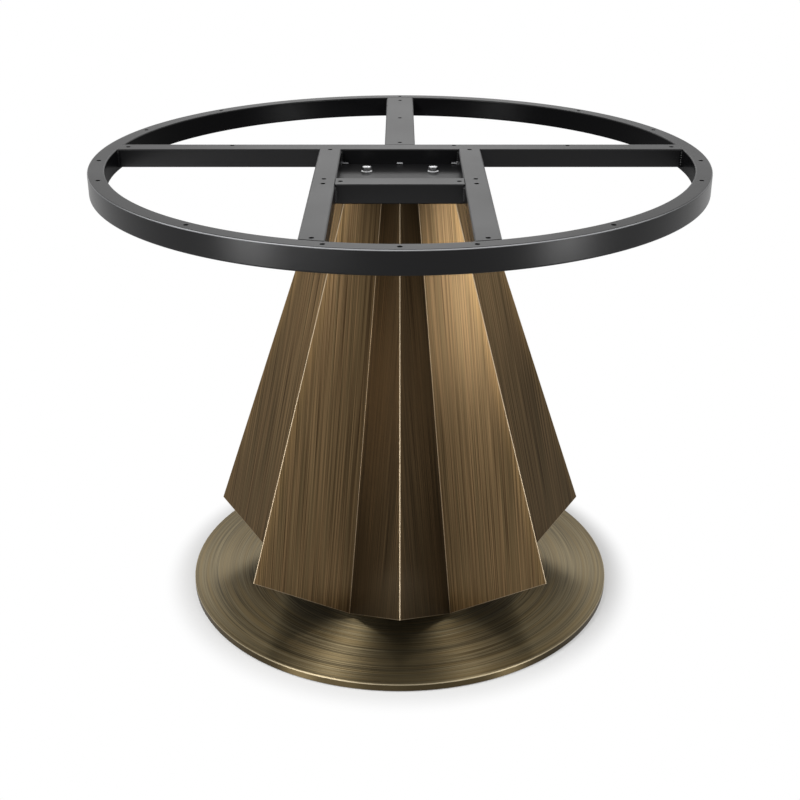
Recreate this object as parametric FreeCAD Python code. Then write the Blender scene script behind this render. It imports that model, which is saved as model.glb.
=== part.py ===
import FreeCAD, Part
import math
import os

from FreeCAD import Vector

# Pedestal table base: a round welded tube frame, a pleated metal shell round a steel column, and a round
# foot disc. All sizes are in millimetres. The origin is on the floor in the middle of the disc, +Z is up,
# the front is -Y and left and right are those of someone who stands in front of it.

# Overall sizes
FRAME_TOP_HEIGHT = 723.0
FRAME_DIAMETER = 920.0
DISC_DIAMETER = 705.0

# Tubes of the top frame, all flush at the top
RING_TUBE_WIDTH = 25.0
RING_TUBE_HEIGHT = 33.0
RING_EDGE_BEVEL = 2.0
BAR_HEIGHT = 28.0
BAR_EDGE_BEVEL = 1.5
TUBE_WALL = 2.0
CROSS_TUBE_WIDTH = 33.0
CROSS_TUBE_Y = 54.5
FRONT_TUBE_WIDTH = 33.5
FRONT_TUBE_SPACING = 213.5
FRONT_TUBE_LET_IN = 9.0
BACK_TUBE_WIDTH = 47.0
SHORT_TUBE_WIDTH = 35.5
SHORT_TUBE_Y = -150.0
SHORT_TUBE_END_BEVEL = 1.5

# Screw holes for the table top, in the upper wall of the tubes
SCREW_HOLE_DIAMETER = 7.0
RING_HOLE_ANGLES = (46.0, 22.6, -4.1, -19.1, -53.4, -78.1)
CROSS_HOLE_END_DISTANCE = 12.0
CROSS_HOLE_MIDDLE_X = 260.0
CROSS_HOLE_RIGHT_X = 84.0
CROSS_HOLE_BACK_OFFSET = 9.5
FRONT_HOLE_END_DISTANCE = 10.0
FRONT_HOLE_RING_DISTANCE = 8.5
FRONT_HOLE_PAIR_SPACING = 25.4
SHORT_HOLE_END_DISTANCE = 7.0
BACK_HOLE_END_DISTANCE = 13.0
BACK_HOLE_RING_DISTANCE = 24.0
BACK_HOLE_MIDDLE_Y = 263.5

# Plate in the frame's box, and the bolts that hold it down on the column's head
MOUNTING_PLATE_THICKNESS = 5.0
FRAME_BOLT_SPACING_X = 100.0
FRAME_BOLT_SPACING_Y = 82.0
FRAME_BOLT_DIAMETER = 8.0
FRAME_BOLT_LENGTH = 20.0
FRAME_BOLT_HEAD_ACROSS = 13.0
FRAME_BOLT_HEAD_HEIGHT = 6.5
FRAME_BOLT_FLANGE_DIAMETER = 17.5
FRAME_BOLT_FLANGE_THICKNESS = 1.6
BOLT_HOLE_CLEARANCE = 0.5
THREAD_CLEARANCE = 0.1
WELD_LEG = 3.0
WELD_END_INSET = 2.0
TACK_WELD_LENGTH = 9.0
TACK_WELD_SPACING = 84.0

# Column inside the shell
COLUMN_DIAMETER = 88.9
COLUMN_WALL = 4.0
HEAD_PLATE_THICKNESS = 8.0
HEAD_PLATE_WIDTH = 150.0
HEAD_PLATE_FRONT_REACH = 110.0
HEAD_PLATE_BACK_REACH = 56.0
FOOT_PLATE_WIDTH = 180.0
FOOT_PLATE_THICKNESS = 8.0
PLATE_CORNER_RADIUS = 8.0

# Pleated shell: seven folded panels. The front fold lines run to one point above the frame, and those at
# the sides and back to a point a little higher
SHEET_THICKNESS = 2.0
RIDGE_BEND_RADIUS = 1.0
RIDGE_TIP_DIAMETER = 626.0
SIDE_RIDGE_TIP_DIAMETER = 637.0
RIDGE_TIP_CLEARANCE = 87.0
RIDGE_TOP_DIAMETER = 215.4
VALLEY_TIP_DIAMETER = 404.0
VALLEY_TIP_CLEARANCE = 12.0
FRONT_RIDGE_ANGLE = 47.0
SIDE_RIDGE_ANGLE = 55.0
REAR_FOLD_RISE = 33.0

# Star-shaped plates that carry the shell on the column
STAR_PLATE_THICKNESS = 3.0
UPPER_STAR_DROP = 20.0
LOWER_STAR_RISE = 130.0
STAR_BORE_CLEARANCE = 0.2

# Foot disc, its screws and its floor pads
DISC_THICKNESS = 12.0
DISC_EDGE_CHAMFER = 1.5
FOOT_SCREW_COUNT = 4
FOOT_SCREW_CIRCLE = 190.0
FOOT_SCREW_DIAMETER = 10.0
FOOT_SCREW_HEAD_DIAMETER = 20.0
PAD_COUNT = 4
PAD_CIRCLE = 620.0
PAD_DIAMETER = 45.0
PAD_THICKNESS = 1.5

# Levels and places worked out from the sizes above
RING_RADIUS = FRAME_DIAMETER / 2
RING_INNER_RADIUS = RING_RADIUS - RING_TUBE_WIDTH
RING_MIDDLE_RADIUS = RING_RADIUS - RING_TUBE_WIDTH / 2
BAR_BOTTOM_Z = FRAME_TOP_HEIGHT - BAR_HEIGHT
CROSS_FRONT_Y = CROSS_TUBE_Y - CROSS_TUBE_WIDTH / 2
CROSS_BACK_Y = CROSS_TUBE_Y + CROSS_TUBE_WIDTH / 2
FRONT_TUBE_X = FRONT_TUBE_SPACING / 2
FRONT_TUBE_END_Y = CROSS_FRONT_Y + FRONT_TUBE_LET_IN
BOX_HALF_WIDTH = FRONT_TUBE_X - FRONT_TUBE_WIDTH / 2
SHORT_BACK_Y = SHORT_TUBE_Y + SHORT_TUBE_WIDTH / 2
SHORT_FRONT_Y = SHORT_TUBE_Y - SHORT_TUBE_WIDTH / 2
BOX_MIDDLE_Y = (CROSS_FRONT_Y + SHORT_BACK_Y) / 2
MOUNTING_PLATE_TOP_Z = BAR_BOTTOM_Z + MOUNTING_PLATE_THICKNESS
HEAD_BOTTOM_Z = BAR_BOTTOM_Z - HEAD_PLATE_THICKNESS
DISC_BOTTOM_Z = PAD_THICKNESS
DISC_TOP_Z = DISC_BOTTOM_Z + DISC_THICKNESS
FOOT_TOP_Z = DISC_TOP_Z + FOOT_PLATE_THICKNESS
RIDGE_TIP_Z = DISC_TOP_Z + RIDGE_TIP_CLEARANCE
VALLEY_TIP_Z = DISC_TOP_Z + VALLEY_TIP_CLEARANCE
SHELL_TOP_Z = HEAD_BOTTOM_Z
UPPER_STAR_Z = HEAD_BOTTOM_Z - UPPER_STAR_DROP
LOWER_STAR_Z = DISC_TOP_Z + LOWER_STAR_RISE

# The point where the front fold lines would meet, and the two side ridges in their order round the shell
RIDGE_SLOPE = (RIDGE_TIP_DIAMETER - RIDGE_TOP_DIAMETER) / 2 / (SHELL_TOP_Z - RIDGE_TIP_Z)
APEX = Vector(0, 0, RIDGE_TIP_Z + RIDGE_TIP_DIAMETER / 2 / RIDGE_SLOPE)
SIDE_RIDGES = (2, 5)

UP = Vector(0, 0, 1)
CUT_MARGIN = 1.0


def drill(x, y, diameter, low, high):
    """Vertical drill from just below one height to just above another."""
    return Part.makeCylinder(diameter / 2, high - low + 2 * CUT_MARGIN, Vector(x, y, low - CUT_MARGIN))


def circle_points(count, diameter, first_angle):
    """Places evenly spread round a circle about the column's axis."""
    points = []
    for index in range(count):
        angle = math.radians(first_angle + 360.0 * index / count)
        points.append((diameter / 2 * math.cos(angle), diameter / 2 * math.sin(angle)))
    return points


# Top frame

def bar_between(start, end, width):
    """Solid bar with bevelled long edges from start to end on the frame's top, as (x, y) places."""
    run = Vector(end[0] - start[0], end[1] - start[1], 0)
    bar = Part.makeBox(run.Length, width, BAR_HEIGHT, Vector(0, -width / 2, -BAR_HEIGHT))
    long_edges = [edge for edge in bar.Edges if abs(edge.tangentAt(edge.FirstParameter).x) > 0.9]
    bar = bar.makeChamfer(BAR_EDGE_BEVEL, long_edges)
    bar.rotate(Vector(), UP, math.degrees(math.atan2(run.y, run.x)))
    bar.translate(Vector(start[0], start[1], FRAME_TOP_HEIGHT))
    return bar


def bore_between(start, end, width):
    """Inside of a rectangular tube, run past both of its ends."""
    run = Vector(end[0] - start[0], end[1] - start[1], 0)
    inner_width = width - 2 * TUBE_WALL
    inner_height = BAR_HEIGHT - 2 * TUBE_WALL
    corner = Vector(-CUT_MARGIN, -inner_width / 2, TUBE_WALL - BAR_HEIGHT)
    bore = Part.makeBox(run.Length + 2 * CUT_MARGIN, inner_width, inner_height, corner)
    bore.rotate(Vector(), UP, math.degrees(math.atan2(run.y, run.x)))
    bore.translate(Vector(start[0], start[1], FRAME_TOP_HEIGHT))
    return bore


def ring_inside():
    """Round space inside the ring, which the ends of the bars are coped to."""
    low = FRAME_TOP_HEIGHT - RING_TUBE_HEIGHT - CUT_MARGIN
    return Part.makeCylinder(RING_INNER_RADIUS, RING_TUBE_HEIGHT + 2 * CUT_MARGIN, Vector(0, 0, low))


def ring_places():
    """Screw holes on the ring: one at the back, one at the front and the rest in mirrored pairs."""
    places = [(0.0, RING_MIDDLE_RADIUS), (0.0, -RING_MIDDLE_RADIUS)]
    for angle in RING_HOLE_ANGLES:
        x = RING_MIDDLE_RADIUS * math.cos(math.radians(angle))
        y = RING_MIDDLE_RADIUS * math.sin(math.radians(angle))
        places += [(x, y), (-x, y)]
    return places


def drilled(tube, places):
    """Tube with its screw holes, which end in its hollow."""
    low = FRAME_TOP_HEIGHT - TUBE_WALL
    for x, y in places:
        tube = tube.cut(drill(x, y, SCREW_HOLE_DIAMETER, low, FRAME_TOP_HEIGHT))
    return tube


def ring_section(inset):
    """Upright section of the ring's tube, moved in by a wall's thickness for its hollow."""
    bottom = FRAME_TOP_HEIGHT - RING_TUBE_HEIGHT + inset
    height = RING_TUBE_HEIGHT - 2 * inset
    width = RING_TUBE_WIDTH - 2 * inset
    left = RING_INNER_RADIUS + inset
    corners = [
        Vector(left, 0, bottom),
        Vector(left + width, 0, bottom),
        Vector(left + width, 0, bottom + height),
        Vector(left, 0, bottom + height),
    ]
    return Part.Face(Part.makePolygon(corners + corners[:1]))


def ring_envelope():
    """Outside of the rolled ring tube, with its two upper edges broken."""
    ring = ring_section(0).revolve(Vector(), UP, 360)
    middle = FRAME_TOP_HEIGHT - RING_TUBE_HEIGHT / 2
    edges = [edge for edge in ring.Edges if isinstance(edge.Curve, Part.Circle) and edge.BoundBox.ZMin > middle]
    return ring.makeChamfer(RING_EDGE_BEVEL, edges)


def make_ring_tube():
    """Rolled rectangular tube, closed on itself."""
    hollow = ring_section(TUBE_WALL).revolve(Vector(), UP, 360)
    return drilled(ring_envelope().cut(hollow), ring_places())


def cross_ends():
    """Both ends of the cross tube, past the ring's inner wall."""
    return (-RING_INNER_RADIUS, CROSS_TUBE_Y), (RING_INNER_RADIUS, CROSS_TUBE_Y)


def front_ends(side):
    """Both ends of a front tube, on the left (-1) or the right (+1)."""
    return (side * FRONT_TUBE_X, -RING_INNER_RADIUS), (side * FRONT_TUBE_X, FRONT_TUBE_END_Y)


def back_ends():
    """Both ends of the back tube."""
    return (0.0, CROSS_BACK_Y), (0.0, RING_INNER_RADIUS)


def short_ends():
    """Both ends of the short tube between the front tubes."""
    return (-BOX_HALF_WIDTH, SHORT_TUBE_Y), (BOX_HALF_WIDTH, SHORT_TUBE_Y)


def envelope(ends, width):
    """Outside of a straight tube, coped to the ring."""
    return bar_between(ends[0], ends[1], width).common(ring_inside())


def hollowed(solid, ends, width):
    """A straight tube's outside with its hollow taken out."""
    return solid.cut(bore_between(ends[0], ends[1], width))


def cross_places():
    """Screw holes on the cross tube."""
    reach = math.sqrt(RING_INNER_RADIUS**2 - CROSS_TUBE_Y**2) - CROSS_HOLE_END_DISTANCE
    back_y = CROSS_TUBE_Y + CROSS_HOLE_BACK_OFFSET
    ends = [(-reach, CROSS_TUBE_Y), (reach, CROSS_TUBE_Y)]
    return ends + [(x, back_y) for x in (-CROSS_HOLE_MIDDLE_X, CROSS_HOLE_MIDDLE_X, CROSS_HOLE_RIGHT_X)]


def make_cross_tube():
    """Tube right across the ring, cut out where the ends of the front tubes are let in."""
    tube = hollowed(envelope(cross_ends(), CROSS_TUBE_WIDTH), cross_ends(), CROSS_TUBE_WIDTH)
    for side in (-1, 1):
        tube = tube.cut(envelope(front_ends(side), FRONT_TUBE_WIDTH))
    return drilled(tube, cross_places())


def front_places(side):
    """Screw holes on one front tube."""
    x = side * FRONT_TUBE_X
    ring_y = -math.sqrt(RING_INNER_RADIUS**2 - FRONT_TUBE_X**2)
    pair = FRONT_HOLE_PAIR_SPACING / 2
    along = (
        FRONT_TUBE_END_Y - FRONT_HOLE_END_DISTANCE,
        SHORT_TUBE_Y + pair,
        SHORT_TUBE_Y - pair,
        ring_y + FRONT_HOLE_RING_DISTANCE,
    )
    return [(x, y) for y in along]


def make_front_tube(side):
    """Tube from the ring's front to the cross tube."""
    tube = hollowed(envelope(front_ends(side), FRONT_TUBE_WIDTH), front_ends(side), FRONT_TUBE_WIDTH)
    return drilled(tube, front_places(side))


def back_places():
    """Screw holes on the back tube."""
    near = CROSS_BACK_Y + BACK_HOLE_END_DISTANCE
    far = RING_INNER_RADIUS - BACK_HOLE_RING_DISTANCE
    return [(0.0, near), (0.0, BACK_HOLE_MIDDLE_Y), (0.0, far)]


def make_back_tube():
    """Wide tube from the cross tube to the ring's back."""
    tube = hollowed(envelope(back_ends(), BACK_TUBE_WIDTH), back_ends(), BACK_TUBE_WIDTH)
    return drilled(tube, back_places())


def short_places():
    """Screw holes on the short tube."""
    x = BOX_HALF_WIDTH - SHORT_HOLE_END_DISTANCE
    return [(-x, SHORT_TUBE_Y), (x, SHORT_TUBE_Y)]


def make_short_tube():
    """Short tube between the front tubes, with the ends of its sides bevelled for the welds."""
    start, end = short_ends()
    bar = bar_between(start, end, SHORT_TUBE_WIDTH)
    end_edges = [edge for edge in bar.Edges if abs(edge.tangentAt(edge.FirstParameter).z) > 0.9]
    bar = bar.makeChamfer(SHORT_TUBE_END_BEVEL, [edge for edge in end_edges if edge.Length > BAR_HEIGHT / 2])
    return drilled(hollowed(bar, short_ends(), SHORT_TUBE_WIDTH), short_places())


def frame_bolt_places():
    """The four bolts, on a rectangle in the middle of the frame's box."""
    places = []
    for along in (-1, 1):
        for across in (-1, 1):
            y = BOX_MIDDLE_Y + along * FRAME_BOLT_SPACING_Y / 2
            places.append((across * FRAME_BOLT_SPACING_X / 2, y))
    return places


def make_mounting_plate():
    """Flat plate that closes the bottom of the frame's box."""
    plate = Part.makeBox(
        2 * BOX_HALF_WIDTH,
        CROSS_FRONT_Y - SHORT_BACK_Y,
        MOUNTING_PLATE_THICKNESS,
        Vector(-BOX_HALF_WIDTH, SHORT_BACK_Y, BAR_BOTTOM_Z),
    )
    hole = FRAME_BOLT_DIAMETER + 2 * BOLT_HOLE_CLEARANCE
    for x, y in frame_bolt_places():
        plate = plate.cut(drill(x, y, hole, BAR_BOTTOM_Z, MOUNTING_PLATE_TOP_Z))
    return plate


def hex_prism(across, height, x, y, z):
    """Upright six-sided prism, by its width across flats."""
    corners = []
    for index in range(7):
        angle = math.radians(60 * index)
        radius = across / math.sqrt(3)
        corners.append(Vector(x + radius * math.cos(angle), y + radius * math.sin(angle), z))
    return Part.Face(Part.makePolygon(corners)).extrude(Vector(0, 0, height))


def make_frame_bolt(x, y):
    """Hexagon flange bolt."""
    seat = MOUNTING_PLATE_TOP_Z
    base = Vector(x, y, seat)
    head = hex_prism(FRAME_BOLT_HEAD_ACROSS, FRAME_BOLT_FLANGE_THICKNESS + FRAME_BOLT_HEAD_HEIGHT, x, y, seat)
    flange = Part.makeCylinder(FRAME_BOLT_FLANGE_DIAMETER / 2, FRAME_BOLT_FLANGE_THICKNESS, base)
    shank = Part.makeCylinder(FRAME_BOLT_DIAMETER / 2, FRAME_BOLT_LENGTH, Vector(x, y, seat - FRAME_BOLT_LENGTH))
    return head.fuse(flange).fuse(shank).removeSplitter()


def weld_bar(start, run, first, second):
    """Bar of square section, its corners a weld's leg from its middle line along two directions."""
    corners = [start + first, start + second, start - first, start - second]
    return Part.Face(Part.makePolygon(corners + corners[:1])).extrude(run)


def corner_weld(x, y, members):
    """Upright fillet weld in the corner where tubes meet, as high as the flat of their sides."""
    start = Vector(x, y, BAR_BOTTOM_Z + WELD_END_INSET)
    run = Vector(0, 0, BAR_HEIGHT - 2 * WELD_END_INSET)
    bead = weld_bar(start, run, Vector(WELD_LEG, 0, 0), Vector(0, WELD_LEG, 0))
    for member in members:
        bead = bead.cut(member)
    return bead


def tack_weld(x, y, members):
    """Short fillet weld where the mounting plate's top meets a tube."""
    start = Vector(x - TACK_WELD_LENGTH / 2, y, MOUNTING_PLATE_TOP_Z)
    bead = weld_bar(start, Vector(TACK_WELD_LENGTH, 0, 0), Vector(0, WELD_LEG, 0), Vector(0, 0, WELD_LEG))
    for member in members:
        bead = bead.cut(member)
    return bead


def make_frame_welds():
    """Welds at every joint of the frame."""
    ring = ring_envelope()
    cross = envelope(cross_ends(), CROSS_TUBE_WIDTH)
    back = envelope(back_ends(), BACK_TUBE_WIDTH)
    short = envelope(short_ends(), SHORT_TUBE_WIDTH)
    plate = make_mounting_plate()
    beads = []
    for side in (-1, 1):
        front = envelope(front_ends(side), FRONT_TUBE_WIDTH)
        for y in (CROSS_FRONT_Y, CROSS_BACK_Y):
            x = side * math.sqrt(RING_INNER_RADIUS**2 - y**2)
            beads.append(corner_weld(x, y, (ring, cross)))
        outer_x = side * (FRONT_TUBE_X + FRONT_TUBE_WIDTH / 2)
        inner_x = side * BOX_HALF_WIDTH
        for x in (outer_x, inner_x):
            y = -math.sqrt(RING_INNER_RADIUS**2 - x**2)
            beads.append(corner_weld(x, y, (ring, front)))
        beads.append(corner_weld(outer_x, CROSS_FRONT_Y, (cross, front)))
        beads.append(corner_weld(inner_x, SHORT_FRONT_Y, (short, front)))
        beads.append(corner_weld(inner_x, CROSS_FRONT_Y, (cross, front, plate)))
        back_x = side * BACK_TUBE_WIDTH / 2
        beads.append(corner_weld(back_x, CROSS_BACK_Y, (cross, back)))
        beads.append(corner_weld(back_x, math.sqrt(RING_INNER_RADIUS**2 - back_x**2), (ring, back)))
    for index in (-1, 0, 1):
        beads.append(tack_weld(index * TACK_WELD_SPACING, CROSS_FRONT_Y, (cross, plate)))
    return Part.makeCompound(beads)


# Column

def rounded_plate(width, front, back, low, thickness):
    """Flat plate with rounded corners, from one reach in front of the column's axis to one behind it."""
    plate = Part.makeBox(width, front + back, thickness, Vector(-width / 2, -front, low))
    corners = [edge for edge in plate.Edges if abs(edge.tangentAt(edge.FirstParameter).z) > 0.9]
    return plate.makeFillet(PLATE_CORNER_RADIUS, corners)


def make_head_plate():
    """Plate on top of the column, tapped for the frame's bolts."""
    plate = rounded_plate(
        HEAD_PLATE_WIDTH,
        HEAD_PLATE_FRONT_REACH,
        HEAD_PLATE_BACK_REACH,
        HEAD_BOTTOM_Z,
        HEAD_PLATE_THICKNESS,
    )
    hole = FRAME_BOLT_DIAMETER + 2 * THREAD_CLEARANCE
    for x, y in frame_bolt_places():
        plate = plate.cut(drill(x, y, hole, HEAD_BOTTOM_Z, BAR_BOTTOM_Z))
    return plate


def make_column_tube():
    """Round steel tube from the foot plate to the head plate."""
    height = HEAD_BOTTOM_Z - FOOT_TOP_Z
    outside = Part.makeCylinder(COLUMN_DIAMETER / 2, height, Vector(0, 0, FOOT_TOP_Z))
    return outside.cut(drill(0, 0, COLUMN_DIAMETER - 2 * COLUMN_WALL, FOOT_TOP_Z, HEAD_BOTTOM_Z))


def foot_screw_places():
    """Screws on a circle, one towards each corner of the foot plate."""
    return circle_points(FOOT_SCREW_COUNT, FOOT_SCREW_CIRCLE, 180.0 / FOOT_SCREW_COUNT)


def make_foot_plate():
    """Square plate under the column, tapped for the screws that come up through the disc."""
    half = FOOT_PLATE_WIDTH / 2
    plate = rounded_plate(FOOT_PLATE_WIDTH, half, half, DISC_TOP_Z, FOOT_PLATE_THICKNESS)
    hole = FOOT_SCREW_DIAMETER + 2 * THREAD_CLEARANCE
    for x, y in foot_screw_places():
        plate = plate.cut(drill(x, y, hole, DISC_TOP_Z, FOOT_TOP_Z))
    return plate


# Pleated shell

def ridge_angles():
    """Directions of the seven ridges. The first one faces the front, and each side mirrors the other."""
    front = FRONT_RIDGE_ANGLE
    side = front + SIDE_RIDGE_ANGLE
    rear = side + (360.0 - 2 * side) / 3
    return [-90.0 + turn for turn in (0.0, front, side, rear, 360.0 - rear, 360.0 - side, 360.0 - front)]


def fold_tips():
    """Lower ends of the fold lines in order round the shell: a ridge, the valley after it, and so on."""
    ridges = ridge_angles()
    tips = []
    for index, angle in enumerate(ridges):
        following = ridges[index + 1] if index + 1 < len(ridges) else ridges[0] + 360.0
        middle = (angle + following) / 2
        ridge_diameter = SIDE_RIDGE_TIP_DIAMETER if index in SIDE_RIDGES else RIDGE_TIP_DIAMETER
        for turn, diameter, height in (
            (angle, ridge_diameter, RIDGE_TIP_Z),
            (middle, VALLEY_TIP_DIAMETER, VALLEY_TIP_Z),
        ):
            x = diameter / 2 * math.cos(math.radians(turn))
            y = diameter / 2 * math.sin(math.radians(turn))
            tips.append(Vector(x, y, height))
    return tips


TIPS = fold_tips()


def rear_apex():
    """Point above the frame where the side and back fold lines would meet, in line with the front facets."""
    side = 2 * SIDE_RIDGES[0]
    across = (TIPS[side] - APEX).cross(TIPS[side - 1] - APEX)
    return APEX + Vector(0, -across.z / across.y, 1) * REAR_FOLD_RISE


REAR_APEX = rear_apex()


def facet_apex(index):
    """Point above the frame that the plane of a facet runs through."""
    first, last = SIDE_RIDGES
    return REAR_APEX if 2 * first <= index % len(TIPS) < 2 * last else APEX


def facet_normal(index):
    """Outward normal of the flat facet between one fold line and the next."""
    start = TIPS[index % len(TIPS)] - facet_apex(index)
    end = TIPS[(index + 1) % len(TIPS)] - facet_apex(index)
    return end.cross(start).normalize() * -1


def fold_point(index, height, inset):
    """Point at a height on a fold line, or on its line inside the sheet at a depth of inset."""
    before = facet_normal(index - 1)
    after = facet_normal(index)
    first = before.dot(facet_apex(index - 1)) - inset - before.z * height
    second = after.dot(facet_apex(index)) - inset - after.z * height
    scale = before.x * after.y - before.y * after.x
    x = (first * after.y - before.y * second) / scale
    y = (before.x * second - first * after.x) / scale
    return Vector(x, y, height)


def inner_cut(index, start, across):
    """Point where a fold's line on the inside of the sheet meets the plane through start across a direction."""
    line_start = fold_point(index, 0.0, SHEET_THICKNESS)
    line = fold_point(index, SHELL_TOP_Z, SHEET_THICKNESS) - line_start
    share = (start - line_start).dot(across) / line.dot(across)
    return line_start + line * share


def inner_tip(ridge):
    """Inner end of a ridge, midway between the ends that its two facets would get if sheared square."""
    ends = []
    for facet in (ridge - 1, ridge):
        across = (TIPS[facet + 1] - TIPS[facet]).cross(facet_normal(facet))
        ends.append(inner_cut(ridge, TIPS[facet], across))
    return (ends[0] + ends[1]) * 0.5


def hexahedron(lower, upper):
    """Solid between two four-sided ends."""
    faces = [Part.Face(Part.makePolygon(ring + ring[:1])) for ring in (lower, upper)]
    for index in range(4):
        after = (index + 1) % 4
        side = [lower[index], lower[after], upper[after], upper[index], lower[index]]
        faces.append(Part.Face(Part.makePolygon(side)))
    solid = Part.Solid(Part.Shell(faces))
    return solid if solid.Volume > 0 else solid.reversed()


def make_facet(facet):
    """One flat half of a pleat, mitred at both of its fold lines and sheared along the bottom."""
    after = facet + 1
    ridge, valley = (after, facet) if facet % 2 else (facet, after)
    tip = inner_tip(ridge)
    across = (TIPS[after] - TIPS[facet]).cross(tip - TIPS[ridge])
    inner = {ridge: tip, valley: inner_cut(valley, TIPS[valley], across)}
    lower = [TIPS[facet], TIPS[after], inner[after], inner[facet]]
    upper = [
        fold_point(facet, SHELL_TOP_Z, 0.0),
        fold_point(after, SHELL_TOP_Z, 0.0),
        fold_point(after, SHELL_TOP_Z, SHEET_THICKNESS),
        fold_point(facet, SHELL_TOP_Z, SHEET_THICKNESS),
    ]
    return hexahedron(lower, upper)


def make_pleat(number):
    """Panel folded once along its ridge, from one valley to the next."""
    ridge = 2 * number
    panel = make_facet(ridge - 1).fuse(make_facet(ridge)).removeSplitter()
    top = fold_point(ridge, SHELL_TOP_Z, 0.0)
    tip = TIPS[ridge]
    ends = (top, tip)
    bend = [edge for edge in panel.Edges if all(edge.distToShape(Part.Vertex(end))[0] < 0.01 for end in ends)]
    return panel.makeFillet(RIDGE_BEND_RADIUS, bend)


def make_star_plate(low):
    """Star-shaped plate that fills the shell at one height, with a bore for the column."""
    rings = []
    for height in (low, low + STAR_PLATE_THICKNESS):
        points = [fold_point(index, height, SHEET_THICKNESS) for index in range(len(TIPS))]
        rings.append(Part.makePolygon(points + points[:1]))
    plate = Part.makeLoft(rings, True, True)
    bore = COLUMN_DIAMETER + 2 * STAR_BORE_CLEARANCE
    return plate.cut(drill(0, 0, bore, low, low + STAR_PLATE_THICKNESS))


# Foot disc

def make_foot_screw(x, y):
    """Countersunk screw from under the disc."""
    head_height = (FOOT_SCREW_HEAD_DIAMETER - FOOT_SCREW_DIAMETER) / 2
    base = Vector(x, y, DISC_BOTTOM_Z)
    head = Part.makeCone(FOOT_SCREW_HEAD_DIAMETER / 2, FOOT_SCREW_DIAMETER / 2, head_height, base)
    shank = Part.makeCylinder(FOOT_SCREW_DIAMETER / 2, FOOT_TOP_Z - DISC_BOTTOM_Z, base)
    return head.fuse(shank).removeSplitter()


def pad_places():
    """Floor pads near the disc's edge."""
    return circle_points(PAD_COUNT, PAD_CIRCLE, 180.0 / PAD_COUNT)


def make_base_disc():
    """Heavy round plate with a bevelled top edge, countersunk from below."""
    disc = Part.makeCylinder(DISC_DIAMETER / 2, DISC_THICKNESS, Vector(0, 0, DISC_BOTTOM_Z))
    rim = [edge for edge in disc.Edges if edge.BoundBox.ZMin > DISC_TOP_Z - CUT_MARGIN]
    disc = disc.makeChamfer(DISC_EDGE_CHAMFER, rim)
    head_height = (FOOT_SCREW_HEAD_DIAMETER - FOOT_SCREW_DIAMETER) / 2
    for x, y in foot_screw_places():
        base = Vector(x, y, DISC_BOTTOM_Z)
        sink = Part.makeCone(FOOT_SCREW_HEAD_DIAMETER / 2, FOOT_SCREW_DIAMETER / 2, head_height, base)
        hole = drill(x, y, FOOT_SCREW_DIAMETER + 2 * THREAD_CLEARANCE, DISC_BOTTOM_Z, DISC_TOP_Z)
        disc = disc.cut(sink).cut(hole)
    return disc


def make_floor_pad(x, y):
    """Thin rubber pad stuck under the disc, which keeps it just off the floor."""
    return Part.makeCylinder(PAD_DIAMETER / 2, PAD_THICKNESS, Vector(x, y, 0))


def group(make, places):
    """Like pieces as one group of separate solids."""
    return Part.makeCompound([make(x, y) for x, y in places])


def build():
    """All pieces by name."""
    pieces = {
        "ring_tube": make_ring_tube(),
        "cross_tube": make_cross_tube(),
        "back_tube": make_back_tube(),
        "front_tube_left": make_front_tube(-1),
        "front_tube_right": make_front_tube(1),
        "short_tube": make_short_tube(),
        "mounting_plate": make_mounting_plate(),
        "frame_bolts": group(make_frame_bolt, frame_bolt_places()),
        "frame_welds": make_frame_welds(),
        "head_plate": make_head_plate(),
        "column_tube": make_column_tube(),
        "foot_plate": make_foot_plate(),
        "upper_star_plate": make_star_plate(UPPER_STAR_Z),
        "lower_star_plate": make_star_plate(LOWER_STAR_Z),
        "base_disc": make_base_disc(),
        "foot_screws": group(make_foot_screw, foot_screw_places()),
        "floor_pads": group(make_floor_pad, pad_places()),
    }
    for number in range(len(ridge_angles())):
        pieces["pleat_" + str(number + 1)] = make_pleat(number)
    return pieces


os.makedirs("parts", exist_ok=True)
for name, shape in build().items():
    shape.exportStep("parts/" + name + ".step")
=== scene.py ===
"""Looks of the pedestal table base: a round tube frame, a pleated bronze shell and a brushed foot disc."""

import logging
import math
from dataclasses import dataclass
from enum import Enum
from typing import Any, Callable, Sequence, Union

import bmesh
import bpy
from mathutils import Matrix, Vector


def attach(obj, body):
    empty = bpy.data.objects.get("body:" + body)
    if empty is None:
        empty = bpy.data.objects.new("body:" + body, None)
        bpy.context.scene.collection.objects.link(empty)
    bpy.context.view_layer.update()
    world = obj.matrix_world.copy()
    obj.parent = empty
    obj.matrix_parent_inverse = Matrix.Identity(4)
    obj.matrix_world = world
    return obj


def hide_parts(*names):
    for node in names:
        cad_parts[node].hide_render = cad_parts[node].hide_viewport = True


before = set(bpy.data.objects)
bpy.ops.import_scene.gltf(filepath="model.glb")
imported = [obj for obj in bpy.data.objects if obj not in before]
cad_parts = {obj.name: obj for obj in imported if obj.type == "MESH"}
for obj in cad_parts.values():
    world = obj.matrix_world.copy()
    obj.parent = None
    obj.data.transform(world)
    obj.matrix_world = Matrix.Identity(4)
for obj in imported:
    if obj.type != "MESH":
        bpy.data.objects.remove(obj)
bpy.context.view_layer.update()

UP = Vector((0.0, 0.0, 1.0))
SHARP_ANGLE = 35.0
Point = tuple[float, float]
Span = tuple[float, float]
Colour = tuple[float, float, float, float]
Row = Union[Point, Callable[[float], Point]]

log = logging.getLogger("table_base")


class Slot(Enum):
    """Material slots of the record."""

    FRAME = "frame_black"
    SHEET = "bronze_sheet"
    DISC = "bronze_disc"
    PLATED = "zinc"
    COLUMN = "column_black"
    PAD = "pad_rubber"


class Blend(Enum):
    """Ways in which one colour is laid over another."""

    MIX = "MIX"
    MULTIPLY = "MULTIPLY"


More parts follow.
